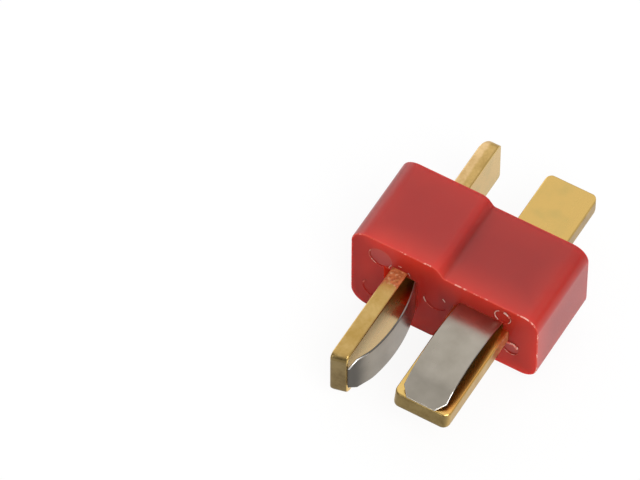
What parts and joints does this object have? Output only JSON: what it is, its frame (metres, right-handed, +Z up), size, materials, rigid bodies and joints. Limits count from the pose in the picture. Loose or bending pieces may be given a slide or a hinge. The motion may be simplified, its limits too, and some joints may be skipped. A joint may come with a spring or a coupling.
{
  "type": "t-plug battery connector",
  "caption": "Battery connector plug: a stepped moulded housing holding an upright and a flat plated blade, each with a bowed leaf spring, and solder tabs at the rear.",
  "frame": {"origin": "under the middle of the whole part, on the plane of the thick half's underside", "axes": "+Y from the mating blades to the solder tabs, +Z up, +X from the thick half to the thin half"},
  "size_m": [0.0154, 0.0226, 0.0086],
  "materials": {
    "red_nylon": "moulded red nylon, satin, with bright parting flash on the mating face",
    "gold_plated_brass": "stamped brass with thin gold plating, faces polished and cut edges grainy",
    "spring_steel": "rolled spring steel strip, satin grey"
  },
  "bodies": {
    "root": {"housing": "red_nylon", "upright_blade": "gold_plated_brass", "flat_blade": "gold_plated_brass", "upright_spring": "spring_steel", "flat_spring": "spring_steel"}
  },
  "joints": []
}
